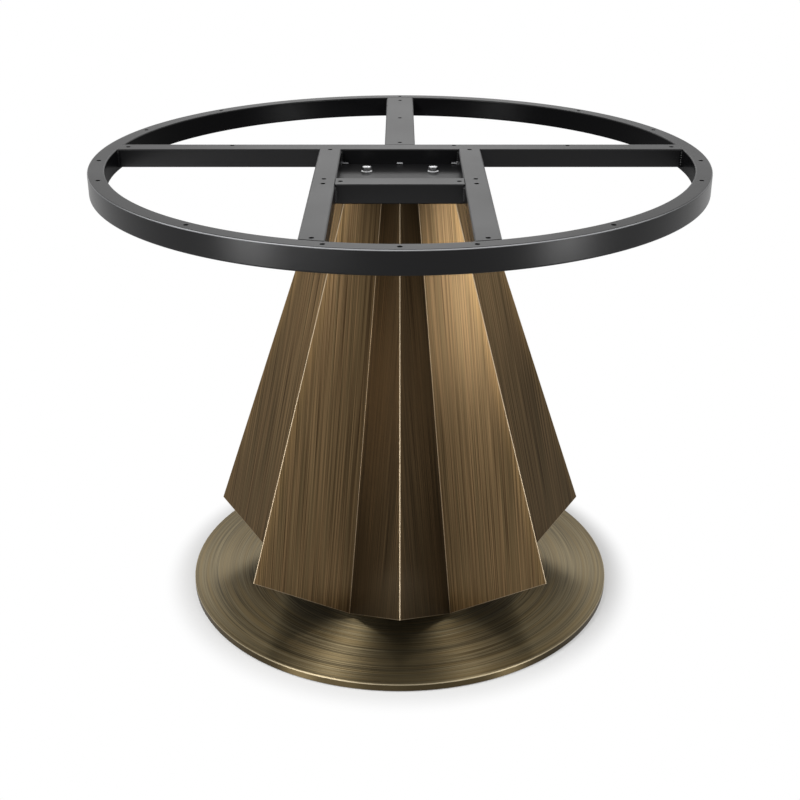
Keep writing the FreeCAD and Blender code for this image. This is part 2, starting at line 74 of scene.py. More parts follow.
def rgb(red: int, green: int, blue: int) -> Colour:
    """Turns a colour as a screen shows it, from 0 to 255, into the linear one that a shader takes."""
    shares = [value / 255.0 for value in (red, green, blue)]
    return (*(s / 12.92 if s <= 0.04045 else ((s + 0.055) / 1.055) ** 2.4 for s in shares), 1.0)


class Value:
    """One number socket of a material, which can be used in sums."""

    def __init__(self, graph: "Graph", socket: bpy.types.NodeSocket) -> None:
        """Keeps the socket and the graph that it is in."""
        self.graph = graph
        self.socket = socket

    def maths(self, operation: str, first: Any, second: Any) -> "Value":
        """Adds a Math node that works an operation out from two values."""
        return self.graph.node("ShaderNodeMath", {"operation": operation}, {0: first, 1: second})

    def __add__(self, other: Any) -> "Value":
        """This plus other."""
        return self.maths("ADD", self, other)

    def __radd__(self, other: Any) -> "Value":
        """Other plus this."""
        return self.maths("ADD", other, self)

    def __sub__(self, other: Any) -> "Value":
        """This less other."""
        return self.maths("SUBTRACT", self, other)

    def __rsub__(self, other: Any) -> "Value":
        """Other less this."""
        return self.maths("SUBTRACT", other, self)

    def __mul__(self, other: Any) -> "Value":
        """This times other."""
        return self.maths("MULTIPLY", self, other)

    def __rmul__(self, other: Any) -> "Value":
        """Other times this."""
        return self.maths("MULTIPLY", other, self)

    def __truediv__(self, other: Any) -> "Value":
        """This divided by other."""
        return self.maths("DIVIDE", self, other)

    def __rtruediv__(self, other: Any) -> "Value":
        """Other divided by this."""
        return self.maths("DIVIDE", other, self)

    def __pow__(self, other: Any) -> "Value":
        """This to the power of other."""
        return self.maths("POWER", self, other)

    def capped(self) -> "Value":
        """This, or 1 where it is more."""
        return self.maths("MINIMUM", self, 1.0)

    def other(self, out: str | int) -> "Value":
        """Another output of the same node."""
        return Value(self.graph, self.socket.node.outputs[out])

    def fade(self, start: float, end: float) -> "Value":
        """Smooth step of this value, 0 up to start and 1 from end on."""
        settings = {"interpolation_type": "SMOOTHSTEP", "clamp": True}
        return self.graph.node("ShaderNodeMapRange", settings, {0: self, 1: start, 2: end, 3: 0.0, 4: 1.0})

    def band(self, rise: Span, fall: Span) -> "Value":
        """Smooth band of this value, 1 from the end of its rise to the start of its fall."""
        return self.fade(*rise) * (1.0 - self.fade(*fall))

    def radius(self, other: "Value") -> "Value":
        """Distance from the axis on which this coordinate and another are 0."""
        return (self * self + other * other) ** 0.5


Input = Union[Value, float, Sequence[float]]


class Graph:
    """Node tree of one material or world, built from expressions."""

    def __init__(self, name: str, kind: str = "materials") -> None:
        """Makes a new, empty material or world.

        Args:
            name: Its name.
            kind: The list that it is kept in, "materials" or "worlds".
        """
        self.owner = getattr(bpy.data, kind).new(name)
        self.owner.use_nodes = True
        self.tree = self.owner.node_tree
        self.tree.nodes.clear()

    def node(
        self,
        kind: str,
        settings: dict[str, Any] | None = None,
        inputs: dict[str | int, Input] | None = None,
        out: str | int = 0,
    ) -> Value:
        """Adds any node.

        Args:
            kind: The node's type.
            settings: Its own settings, such as a Math node's operation, set first.
            inputs: Values or links of its sockets, by name or number.
            out: The output that is wanted.

        Returns:
            That output.
        """
        node = self.tree.nodes.new(kind)
        for key, value in (settings or {}).items():
            setattr(node, key, value)
        for key, value in (inputs or {}).items():
            if isinstance(value, Value):
                self.tree.links.new(value.socket, node.inputs[key])
            else:
                node.inputs[key].default_value = value
        return Value(self, node.outputs[out] if node.outputs else None)

    def place(self) -> Value:
        """Place on the object in metres."""
        return self.node("ShaderNodeTexCoord", out="Object")

    def upward(self) -> Value:
        """How far the surface faces up: 1 on top, 0 on upright walls."""
        return self.parts(self.node("ShaderNodeNewGeometry", out="True Normal"))[2]

    def sheet_map(self, name: str) -> Value:
        """Place in one of the mesh's own maps, by the map's name."""
        return self.node("ShaderNodeUVMap", {"uv_map": name})

    def parts(self, vector: Value) -> tuple[Value, Value, Value]:
        """Splits a vector into its three numbers."""
        first = self.node("ShaderNodeSeparateXYZ", {}, {0: vector})
        return first, first.other(1), first.other(2)

    def vector(self, x: Input, y: Input, z: Input) -> Value:
        """Joins three numbers to a vector."""
        return self.node("ShaderNodeCombineXYZ", {}, {0: x, 1: y, 2: z})

    def noise(self, vector: Value, scale: float, detail: float = 3.0, rough: float = 0.55) -> Value:
        """Cloudy noise round 0.5. Detail is how many finer layers it has, and rough is their strength."""
        inputs = {"Vector": vector, "Scale": scale, "Detail": detail, "Roughness": rough}
        return self.node("ShaderNodeTexNoise", {"noise_dimensions": "3D"}, inputs)

    def layers(self, under: Input, *coats: tuple[Blend, Input, Input]) -> Input:
        """Lays colours over one another.

        Args:
            under: The lowest colour.
            coats: Blend, share and colour of each one above it, in order.

        Returns:
            The mixed colour.
        """
        for blend, share, over in coats:
            settings = {"data_type": "RGBA", "blend_type": blend.value, "clamp_result": False}
            under = self.node("ShaderNodeMix", settings, {0: share, 6: under, 7: over}, 2)
        return under

    def bump(self, height: Value, depth: float, strength: float) -> Value:
        """Normal of a relief, where depth is what a height of 1 is in metres."""
        return self.node("ShaderNodeBump", {}, {"Strength": strength, "Distance": depth, "Height": height})

    def seen_directly(self) -> Value:
        """1 for rays that show a surface straight, in a mirror or through glass, and 0 for all others."""
        camera = self.node("ShaderNodeLightPath", out="Is Camera Ray")
        return (camera + camera.other("Is Glossy Ray") + camera.other("Is Transmission Ray")).capped()

    def shader(self, colour: Input, rough: Input, normal: Value, fixed: dict[str, float]) -> Value:
        """Adds a main shader, from what changes over the surface and its sockets that don't."""
        varying = {"Base Color": colour, "Roughness": rough, "Normal": normal}
        return self.node("ShaderNodeBsdfPrincipled", {}, {**fixed, **varying})

    def mix(self, share: Input, first: Value, second: Value) -> Value:
        """Mixes two shaders, where a share of 0 shows the first."""
        return self.node("ShaderNodeMixShader", {}, {0: share, 1: first, 2: second})

    def end(self, shader: Value) -> bpy.types.Material:
        """Ends the material in a shader and hands it over."""
        self.node("ShaderNodeOutputMaterial", {}, {"Surface": shader})
        return self.owner


@dataclass(frozen=True)
class PowderCoat:
    """Satin black powder coat of the frame, with fine orange peel and a little dust.

    The ring's upper outer edge, strongest at the front, and the welds on the mounting plate get a painted
    highlight.
    The ring's inner wall has a thinner, duller coat.
    """

    colour: Colour = rgb(11, 11, 12)
    dust: Colour = rgb(44, 43, 42)
    # Colour of the painted highlight on the ring's outer edge and on the welds.
    painted_highlight: Colour = rgb(158, 159, 161)
    roughness: float = 0.3
    matt_tops: float = 0.05
    specular: float = 0.17
    dull_specular: float = 0.0
    dull_inside: float = 0.84
    dull_outside: float = 0.1
    inner_wall: Span = (0.4305, 0.432)
    inner_corner: Span = (0.4358, 0.4364)
    outer_edge: Span = (0.456, 0.4575)
    edge_slope: tuple[Span, Span] = ((0.3, 0.6), (0.75, 0.93))
    front: Span = (-0.39, -0.25)
    plate_radius: Span = (0.125, 0.13)
    weld_height: tuple[Span, Span] = ((0.6997, 0.7003), (0.7045, 0.7055))
    weld_slope: tuple[Span, Span] = ((0.1, 0.3), (0.985, 0.998))
    weld_highlight_share: float = 0.6
    cloud_scale: float = 7.0
    grit_scale: float = 1900.0
    peel_scale: float = 620.0
    peel_depth: float = 0.00006

    def material(self) -> bpy.types.Material:
        """Builds the finish."""
        graph = Graph("powder_coat")
        place = graph.place()
        cloud = graph.noise(place, self.cloud_scale)
        peel = graph.noise(place, self.peel_scale, 2.0)
        grit = graph.noise(place, self.grit_scale, 1.0).fade(0.62, 0.78)
        upward = graph.upward()
        tops, walls = upward.fade(0.6, 1.0), 1.0 - upward.fade(0.3, 0.6)
        x, y, z = graph.parts(place)
        radius = x.radius(y)
        # Painted highlight on the ring's upper outer edge, strongest along the front.
        rim = upward.band(*self.edge_slope) * radius.fade(*self.outer_edge)
        rim = rim * (0.2 + (1.0 - y.fade(*self.front)) * (0.3 + cloud * 0.5))
        near = 1.0 - radius.fade(*self.plate_radius)
        # Painted highlight on the tack welds beside the mounting plate.
        weld = upward.band(*self.weld_slope) * z.band(*self.weld_height) * near
        loss = radius.fade(*self.inner_corner) * (self.dull_inside - self.dull_outside)
        dull = walls * radius.fade(*self.inner_wall) * (self.dull_inside - loss)
        colour = graph.layers(
            self.colour,
            (Blend.MIX, cloud.fade(0.35, 0.75) * tops * 0.25, self.dust),
            (Blend.MIX, grit * 0.1, self.dust),
            (Blend.MIX, rim + weld * self.weld_highlight_share, self.painted_highlight),
        )
        rough = self.roughness + (cloud - 0.5) * 0.12 + grit * 0.08 + tops * self.matt_tops
        normal = graph.bump(peel, self.peel_depth, 0.6)
        levels = [{"Specular IOR Level": level} for level in (self.specular, self.dull_specular)]
        return graph.end(graph.mix(dull, *[graph.shader(colour, rough, normal, level) for level in levels]))


@dataclass(frozen=True)
class Streaks:
    """One layer of brushing: noise that is drawn out along it."""

    across: float
    along: float
    seed: float = 0.0
    detail: float = 2.0
    rough: float = 0.55

    def read(self, graph: Graph, across: Value, along: Value, beside: Input = 0.0) -> Value:
        """Reads the layer at a place across and along the brushing, and beside it where that runs round."""
        spot = graph.vector(across * self.across, along * self.along, beside * self.along + self.seed)
        return graph.noise(spot, 1.0, self.detail, self.rough)


@dataclass(frozen=True)
class BrushedMetal:
    """What both bronze finishes share: a gloss and a relief that follow the brushing."""

    roughness: float
    wear_roughness: float
    anisotropy: float
    brush_turn: float
    streak_roughness: float = 0.3
    streak_depth: float = 0.00005

    def metal(self, graph: Graph, colour: Input, streaks: Value, wear: Value) -> bpy.types.Material:
        """Ends a material in brushed metal.

        Args:
            graph: The material's nodes.
            colour: Its colour.
            streaks: Its brushing, round 0.5.
            wear: How worn it is, from 0 to 1.

        Returns:
            The finished material.
        """
        rough = self.roughness + (streaks - 0.5) * self.streak_roughness + wear * self.wear_roughness
        normal = graph.bump(streaks, self.streak_depth, 0.5)
        fixed = {"Metallic": 1.0, "Anisotropic": self.anisotropy, "Anisotropic Rotation": self.brush_turn}
        return graph.end(graph.shader(colour, rough, normal, fixed))


@dataclass(frozen=True)
class BrushedSheet(BrushedMetal):
    """Antique bronze sheet, brushed along the folds, with rubbed and painted highlights on its ridges and
    lower edges.
    """

    roughness: float = 0.33
    wear_roughness: float = 0.22
    anisotropy: float = 0.75
    brush_turn: float = 0.0
    dark: Colour = rgb(52, 40, 26)
    warm: Colour = rgb(122, 99, 70)
    olive: Colour = rgb(92, 79, 55)
    # Colour of the painted golden sheen beside the ridges.
    gold: Colour = rgb(174, 139, 86)
    bright: Colour = rgb(184, 168, 144)
    shade: Colour = (0.62, 0.6, 0.58, 1.0)
    # Tint of the painted shade on the facets.
    painted_shade: Colour = (0.33, 0.345, 0.355, 1.0)
    fine: Streaks = Streaks(1500.0, 7.0, rough=0.6)
    middle: Streaks = Streaks(680.0, 3.4, 7.0, detail=1.0)
    coarse: Streaks = Streaks(280.0, 2.2, 4.0, rough=0.6)
    hue: Streaks = Streaks(420.0, 2.6, 17.0)
    band: Streaks = Streaks(60.0, 1.3, 9.0)
    # Reaches of the bright edge bands, which are both rubbed wear and painted highlight.
    ridge_rub_and_highlight: Span = (0.00084, 0.00224)
    valley_rub_and_highlight: Span = (0.0003, 0.0011)
    lower_rub_and_highlight: Span = (0.0003, 0.0012)
    rub_and_highlight_share: float = 0.72
    # Reach of the painted golden sheen beside the ridges.
    glow_reach: Span = (0.0014, 0.018)
    crease_reach: Span = (0.001, 0.04)

    def material(self) -> bpy.types.Material:
        """Builds the finish."""
        graph = Graph("brushed_bronze_sheet")
        grain = graph.parts(graph.sheet_map("grain"))[:2]
        ridge, valley, _ = graph.parts(graph.sheet_map("fold"))
        lower, facet_shade, _ = graph.parts(graph.sheet_map("edge"))
        layers = (self.fine, self.middle, self.coarse, self.hue, self.band)
        fine, middle, coarse, hue, band = [layer.read(graph, *grain) for layer in layers]
        streaks = coarse * 0.24 + middle * 0.58 + fine * 0.18
        # Painted sheen: a golden band beside each ridge.
        glow = (1.0 - ridge.fade(*self.glow_reach)) * (0.55 + streaks.fade(0.4, 0.6) * 0.45)
        # Painted shade: each facet is darkened by its own share, a little more towards its valley.
        painted_shade = facet_shade * (1.0 - valley.fade(*self.crease_reach) * 0.15)
        # Ridges, valley edges and lower edges are rubbed bright and also carry a painted highlight.
        rub_and_highlight = 1.0 - ridge.fade(*self.ridge_rub_and_highlight)
        edge = (1.0 - valley.fade(*self.valley_rub_and_highlight)) + (1.0 - lower.fade(*self.lower_rub_and_highlight)) * 0.8
        colour = graph.layers(
            self.dark,
            (Blend.MIX, streaks.fade(0.32, 0.68), self.warm),
            (Blend.MIX, hue.fade(0.4, 0.64) * 0.5, self.olive),
            (Blend.MULTIPLY, band.fade(0.3, 0.7) * 0.12, self.shade),
            (Blend.MIX, glow * 0.14, self.gold),
            (Blend.MULTIPLY, painted_shade, self.painted_shade),
            (Blend.MIX, rub_and_highlight * self.rub_and_highlight_share, self.bright),
            (Blend.MIX, edge * self.rub_and_highlight_share, self.bright),
        )
        return self.metal(graph, colour, streaks, rub_and_highlight)


@dataclass(frozen=True)
class TurnedDisc(BrushedMetal):
    """Antique bronze plate, brushed in circles, with a polished bevel and a painted highlight round its edge.
    """

    roughness: float = 0.37
    wear_roughness: float = 0.3
    anisotropy: float = 0.97
    brush_turn: float = 0.25
    dark: Colour = rgb(72, 64, 47)
    light: Colour = rgb(128, 116, 89)
    warm: Colour = rgb(118, 100, 66)
    # Colour of the bevel, which is polished and also carries a painted highlight.
    bright: Colour = rgb(192, 179, 152)
    # Tint of the painted shade on the disc's upright side wall.
    shade: Colour = (0.43, 0.4, 0.35, 1.0)
    fine: Streaks = Streaks(1100.0, 1.8, rough=0.6)
    coarse: Streaks = Streaks(420.0, 1.1, rough=0.6)
    hue: Streaks = Streaks(150.0, 0.8, 5.0)
    bevel: Span = (0.3513, 0.3516)
    bevel_slope: tuple[Span, Span] = ((0.2, 0.45), (0.85, 0.98))

    def material(self) -> bpy.types.Material:
        """Builds the finish."""
        graph = Graph("turned_bronze_disc")
        x, y, _ = graph.parts(graph.place())
        radius, upward = x.radius(y), graph.upward()
        lean = (x / radius, y / radius)
        fine, coarse, hue = [layer.read(graph, radius, *lean) for layer in (self.fine, self.coarse, self.hue)]
        streaks = coarse * 0.5 + fine * 0.5
        rim = upward.band(*self.bevel_slope) * radius.fade(*self.bevel)
        colour = graph.layers(
            self.dark,
            (Blend.MIX, streaks.fade(0.34, 0.66), self.light),
            (Blend.MIX, hue.fade(0.4, 0.7) * 0.5, self.warm),
            # Painted shade on the upright side wall.
            (Blend.MULTIPLY, 1.0 - upward.fade(0.0, 0.2), self.shade),
            # The bevel is polished and also carries a painted highlight.
            (Blend.MIX, rim * 0.8, self.bright),
        )
        return self.metal(graph, colour, streaks, rim)


@dataclass(frozen=True)
class MottledFinish:
    """Finish that a second colour mottles, with a fine grain in its gloss and its relief."""

    name: str
    colour: Colour
    second: Colour
    roughness: float
    mottle_scale: float
    mottle_edge: Span
    mottle_share: float
    grain_scale: float
    grain_detail: float
    grain_gloss: float
    grain_depth: float
    grain_relief: float
    scratch_scale: float = 2400.0
    scratch_edge: Span = (0.58, 0.7)
    scratches: float = 0.0
    metallic: float = 0.0

    def material(self) -> bpy.types.Material:
        """Builds the finish."""
        graph = Graph(self.name)
        place = graph.place()
        mottle = graph.noise(place, self.mottle_scale).fade(*self.mottle_edge) * self.mottle_share
        grain = graph.noise(place, self.grain_scale, self.grain_detail)
        rough = self.roughness + (grain - 0.5) * self.grain_gloss
        if self.scratches:
            scratch = graph.noise(place, self.scratch_scale, 2.0).fade(*self.scratch_edge)
            rough = rough + scratch * self.scratches
        colour = graph.layers(self.colour, (Blend.MIX, mottle, self.second))
        normal = graph.bump(grain, self.grain_depth, self.grain_relief)
        return graph.end(graph.shader(colour, rough, normal, {"Metallic": self.metallic}))


PLATED_STEEL = MottledFinish(
    "bright_plating",
    rgb(198, 198, 200),
    rgb(150, 150, 148),
    roughness=0.22,
    mottle_scale=260.0,
    mottle_edge=(0.45, 0.75),
    mottle_share=1.0,
    grain_scale=260.0,
    grain_detail=3.0,
    grain_gloss=0.14,
    grain_depth=0.00004,
    grain_relief=0.4,
    scratches=0.1,
    metallic=1.0,
)
COLUMN_PAINT = MottledFinish(
    "column_paint",
    rgb(30, 30, 31),
    rgb(62, 60, 57),
    roughness=0.62,
    mottle_scale=14.0,
    mottle_edge=(0.45, 0.8),
    mottle_share=0.5,
    grain_scale=310.0,
    grain_detail=4.0,
    grain_gloss=0.22,
    grain_depth=0.00012,
    grain_relief=0.5,
)
PAD_RUBBER = MottledFinish(
    "pad_rubber",
    rgb(34, 33, 32),
    rgb(66, 64, 61),
    roughness=0.82,
    mottle_scale=60.0,
    mottle_edge=(0.4, 0.8),
    mottle_share=0.5,
    grain_scale=800.0,
    grain_detail=2.0,
    grain_gloss=0.16,
    grain_depth=0.0001,
    grain_relief=0.6,
)


class Workshop:
    """Finishes by slot, each built once, and the last steps that every piece takes."""

    def __init__(self) -> None:
        """Builds all finishes."""
        self.finishes = {
            Slot.FRAME: PowderCoat().material(),
            Slot.SHEET: BrushedSheet().material(),
            Slot.DISC: TurnedDisc().material(),
            Slot.PLATED: PLATED_STEEL.material(),
            Slot.COLUMN: COLUMN_PAINT.material(),
            Slot.PAD: PAD_RUBBER.material(),
        }
        self.done: list[str] = []

    def dress(self, slot: Slot, *nodes: str) -> None:
        """Gives kept solids their finish.

        Args:
            slot: The slot of their finish.
            nodes: The solids' names.
        """
        for node in nodes:
            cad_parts[node].material_slots[0].material = self.finishes[slot]
            self.done.append(node)

    def place(self, piece: bpy.types.Object, slot: Slot, *nodes: str) -> None:
        """Dresses a new piece, lets it ride on the part and lets it stand for solids.

        Args:
            piece: The new piece.
            slot: The slot of its finish.
            nodes: The solids that it stands for.
        """
        piece.data.materials.clear()
        piece.data.materials.append(self.finishes[slot])
        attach(piece, "root")
        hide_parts(*nodes)
        self.done.append(piece.name)


class Shape:
    """Points and faces of one piece while it is made."""

    def __init__(self) -> None:
        """Starts with no points."""
        self.points: list[Vector] = []
        self.faces: list[list[int]] = []

    def add_ring(self, points: Sequence[Vector]) -> list[int]:
        """Adds a row of points and gives their numbers."""
        self.points.extend(points)
        return list(range(len(self.points) - len(points), len(self.points)))

    def bridge(self, first: Sequence[int], second: Sequence[int]) -> None:
        """Joins two closed rows of points with four-sided faces."""
        pairs = list(zip(first, second))
        self.faces.extend([a, c, d, b] for (a, b), (c, d) in zip(pairs, pairs[1:] + pairs[:1]))

    def loft(self, rings: Sequence[list[int]]) -> None:
        """Joins each closed row of points with the next."""
        for first, second in zip(rings, rings[1:]):
            self.bridge(first, second)

    def piece(self, name: str, smooth_angle: float = SHARP_ANGLE) -> bpy.types.Object:
        """Makes the mesh and its object.

        Args:
            name: The piece's name.
            smooth_angle: Edges sharper than this stay sharp, in degrees.

        Returns:
            The object.
        """
        mesh = bpy.data.meshes.new(name)
        mesh.from_pydata([tuple(point) for point in self.points], [], self.faces)
        whole = bmesh.new()
        whole.from_mesh(mesh)
        bmesh.ops.recalc_face_normals(whole, faces=whole.faces)
        whole.to_mesh(mesh)
        whole.free()
        mesh.shade_smooth()
        mesh.set_sharp_from_angle(angle=math.radians(smooth_angle))
        piece = bpy.data.objects.new(name, mesh)
        bpy.context.scene.collection.objects.link(piece)
        return piece


def full_turn(steps: int) -> list[float]:
    """Directions of even steps once round, in radians."""
    return [2 * math.pi * step / steps for step in range(steps)]


def around(middle: Point, turn: float, radius: float, height: float) -> Vector:
    """Point beside an upright axis, at a direction in radians, a radius and a height."""
    return Vector((middle[0] + radius * math.cos(turn), middle[1] + radius * math.sin(turn), height))


def spots_round(radius: float, turns: Sequence[float]) -> list[Point]:
    """Places on a circle round the part's middle, at directions in degrees."""
    angles = [math.radians(turn) for turn in turns]
    return [(radius * math.cos(angle), radius * math.sin(angle)) for angle in angles]


def hexagon_side(turn: float, across: float) -> float:
    """Distance from a hexagon's middle to its side in one direction, from its width across the flats."""
    sector = math.pi / 3
    return across / 2 / math.cos((turn % sector) - sector / 2)


def lathe(
    shape: Shape,
    rows: Sequence[Row],
    steps: int,
    middle: Point = (0.0, 0.0),
    closed: bool = False,
) -> None:
    """Turns an outline about an upright axis.

    Args:
        shape: The shape that it is added to.
        rows: Radius and height of each of its points, or a function from a direction to both where it isn't
            round. A radius of 0 closes the end with a fan, and another open end gets one face.
        steps: Steps round the axis.
        middle: Where the axis stands.
        closed: Whether the outline runs round, as a tube's does.
    """
    turns = full_turn(steps)
    rings: list[list[int]] = []
    for row in rows:
        sizes = [row(turn) if callable(row) else row for turn in turns]
        if sizes[0][0] == 0.0:
            del sizes[1:]
        rings.append(shape.add_ring([around(middle, turn, *size) for turn, size in zip(turns, sizes)]))
    for first, second in zip(rings, rings[1:] + rings[:1] if closed else rings[1:]):
        if len(first) == len(second):
            shape.bridge(first, second)
        else:
            tip, base = (first[0], second) if len(first) == 1 else (second[0], first)
            shape.faces.extend([[tip, base[i], base[(i + 1) % steps]] for i in range(steps)])
    if not closed and len(rings[0]) > 1:
        shape.faces.extend([rings[0], rings[-1]])


def rounded_outline(sides: Span, heights: Span, radius: float, steps: int) -> list[Point]:
    """Outline of an upright rectangle with rounded corners.

    Args:
        sides: Its left and right sides.
        heights: Its bottom and top.
        radius: Radius of its corners.
        steps: Steps in each corner.

    Returns:
        Its points, in order round it.
    """
    (left, right), (low, high) = sides, heights
    points = []
    for x, y, start in ((right, high, 0), (left, high, 90), (left, low, 180), (right, low, 270)):
        inner_x = x + (radius if x == left else -radius)
        inner_y = y + (radius if y == low else -radius)
        for step in range(steps + 1):
            turn = math.radians(start + 90.0 * step / steps)
            points.append((inner_x + radius * math.cos(turn), inner_y + radius * math.sin(turn)))
    return points


def cut(piece: bpy.types.Object, cutter: Shape) -> None:
    """Cuts a shape out of a piece.

    Args:
        piece: The piece that loses it.
        cutter: The shape that is cut out.
    """
    tool = cutter.piece(piece.name + "_cutter")
    change = piece.modifiers.new("cut", "BOOLEAN")
    change.operation = "DIFFERENCE"
    change.solver = "EXACT"
    change.object = tool
    done = bpy.data.meshes.new_from_object(piece.evaluated_get(bpy.context.evaluated_depsgraph_get()))
    piece.modifiers.clear()
    old = piece.data
    piece.data = done
    done.name = old.name
    bpy.data.meshes.remove(old)
    bpy.data.objects.remove(tool)
    done.shade_smooth()
    done.set_sharp_from_angle(angle=math.radians(SHARP_ANGLE))


def even_normals(piece: bpy.types.Object) -> None:
    """Keeps flats flat beside their rounded edges.

    Args:
        piece: The piece.
    """
    change = piece.modifiers.new("even_normals", "WEIGHTED_NORMAL")
    change.keep_sharp = True
    change.weight = 100


@dataclass
class TopFrame:
    """Round frame of welded tubes with its mounting plate and weld beads."""

    shop: Workshop
    top: float = 0.723
    outer_radius: float = 0.46
    tube_width: float = 0.025
    tube_height: float = 0.033
    edge_radius: float = 0.0026
    inner_edge_radius: float = 0.0008
    wall: float = 0.002
    ring_steps: int = 320
    hole_steps: int = 28
    hole_radius: float = 0.0035
    hole_turns: tuple[float, ...] = (46.0, 22.6, -4.1, -19.1, -53.4, -78.1)
    bar_height: float = 0.028
    plate_top: float = 0.7
    cross_front: float = 0.038
    cross_back: float = 0.071
    front_tube_x: float = 0.10675
    front_tube_width: float = 0.0335
    back_tube_width: float = 0.047
    box_half_width: float = 0.09
    short_front: float = -0.16775
    bead_radius: float = 0.0026
    bead_pitch: float = 0.0036
    bead_ripple: float = 0.13
    bead_wander: float = 0.12
    bead_sides: int = 12
    ripple_steps: int = 7
    bead_ends: Span = (0.002, 0.0028)
    tack_length: float = 0.01
    tack_spacing: float = 0.084
    tack_share: float = 0.85
    tack_offset: Span = (-0.0008, 0.0006)

    @property
    def inner_radius(self) -> float:
        """Radius of the ring's inside."""
        return self.outer_radius - self.tube_width

    def make_ring(self) -> None:
        """Rolled tube with rounded edges and screw holes."""
        sides = (self.inner_radius, self.outer_radius)
        heights = (self.top - self.tube_height, self.top)
        hollow = [(low + self.wall, high - self.wall) for low, high in (sides, heights)]
        tube = Shape()
        lathe(tube, rounded_outline(sides, heights, self.edge_radius, 5), self.ring_steps, closed=True)
        lathe(tube, rounded_outline(*hollow, self.inner_edge_radius, 2), self.ring_steps // 2, closed=True)
        piece = tube.piece("ring_tube_rolled")
        turns = [90.0, -90.0]
        for turn in self.hole_turns:
            turns += [turn, 180.0 - turn]
        radius, low, high = self.hole_radius, self.top - self.wall * 2, self.top + self.wall
        drills = Shape()
        for spot in spots_round(sum(sides) / 2, turns):
            lathe(drills, [(0.0, low), (radius, low), (radius, high), (0.0, high)], self.hole_steps, spot)
        cut(piece, drills)
        even_normals(piece)
        self.shop.place(piece, Slot.FRAME, "ring_tube")

    def bead(self, shape: Shape, start: Vector, end: Vector, radius: float) -> None:
        """One weld bead with the ripples of its passes.

        Args:
            shape: The shape that it is added to.
            start: Its lower or left end.
            end: Its other end.
            radius: How thick it is.
        """
        run = end - start
        axis = run.normalized()
        side = axis.orthogonal().normalized()
        other = axis.cross(side)
        steps = max(10, int(run.length / self.bead_pitch * self.ripple_steps))
        circle = [(math.cos(turn), math.sin(turn)) for turn in full_turn(self.bead_sides)]
        rings = []
        for step in range(steps + 1):
            share = step / steps
            middle = start + run * share
            ends = math.sqrt(max(0.02, 1.0 - abs(2 * share - 1.0) ** 9))
            ripple = 1.0 + self.bead_ripple * abs(math.sin(math.pi * run.length * share / self.bead_pitch))
            wander = self.bead_wander * radius * math.sin(41.0 * share + 900.0 * start.x)
            size = radius * ends * ripple
            spots = [middle + side * (size * x + wander) + other * size * y for x, y in circle]
            rings.append(shape.add_ring(spots))
        shape.loft(rings)
        shape.faces.extend([rings[0], rings[-1]])

    def reach(self, across: float) -> float:
        """How far the ring's inner wall is along one axis, at a distance along the other."""
        return math.sqrt(self.inner_radius**2 - across**2)

    def make_welds(self) -> None:
        """Beads in the corners of all joints, and three short ones along the plate."""
        low = self.top - self.bar_height + self.bead_ends[0]
        high = self.top - self.bead_ends[1]
        shape = Shape()
        corners: list[Point] = []
        outer_x = self.front_tube_x + self.front_tube_width / 2
        half_back = self.back_tube_width / 2
        for side in (-1, 1):
            corners += [(side * self.reach(y), y) for y in (self.cross_front, self.cross_back)]
            corners += [(side * x, -self.reach(x)) for x in (outer_x, self.box_half_width)]
            corners += [(side * outer_x, self.cross_front), (side * self.box_half_width, self.cross_front)]
            corners += [(side * self.box_half_width, self.short_front)]
            corners += [(side * half_back, self.cross_back), (side * half_back, self.reach(half_back))]
        for x, y in corners:
            self.bead(shape, Vector((x, y, low)), Vector((x, y, high)), self.bead_radius)
        y, z = self.cross_front + self.tack_offset[0], self.plate_top + self.tack_offset[1]
        half = Vector((self.tack_length / 2, 0.0, 0.0))
        for index in (-1, 0, 1):
            middle = Vector((index * self.tack_spacing, y, z))
            self.bead(shape, middle - half, middle + half, self.bead_radius * self.tack_share)
        self.shop.place(shape.piece("weld_beads", 60.0), Slot.FRAME, "frame_welds")

    def build(self) -> None:
        """Builds and dresses the whole frame."""
        self.shop.dress(Slot.FRAME, "cross_tube", "back_tube", "front_tube_left", "front_tube_right")
        self.shop.dress(Slot.FRAME, "short_tube", "mounting_plate")
        self.make_ring()
        self.make_welds()


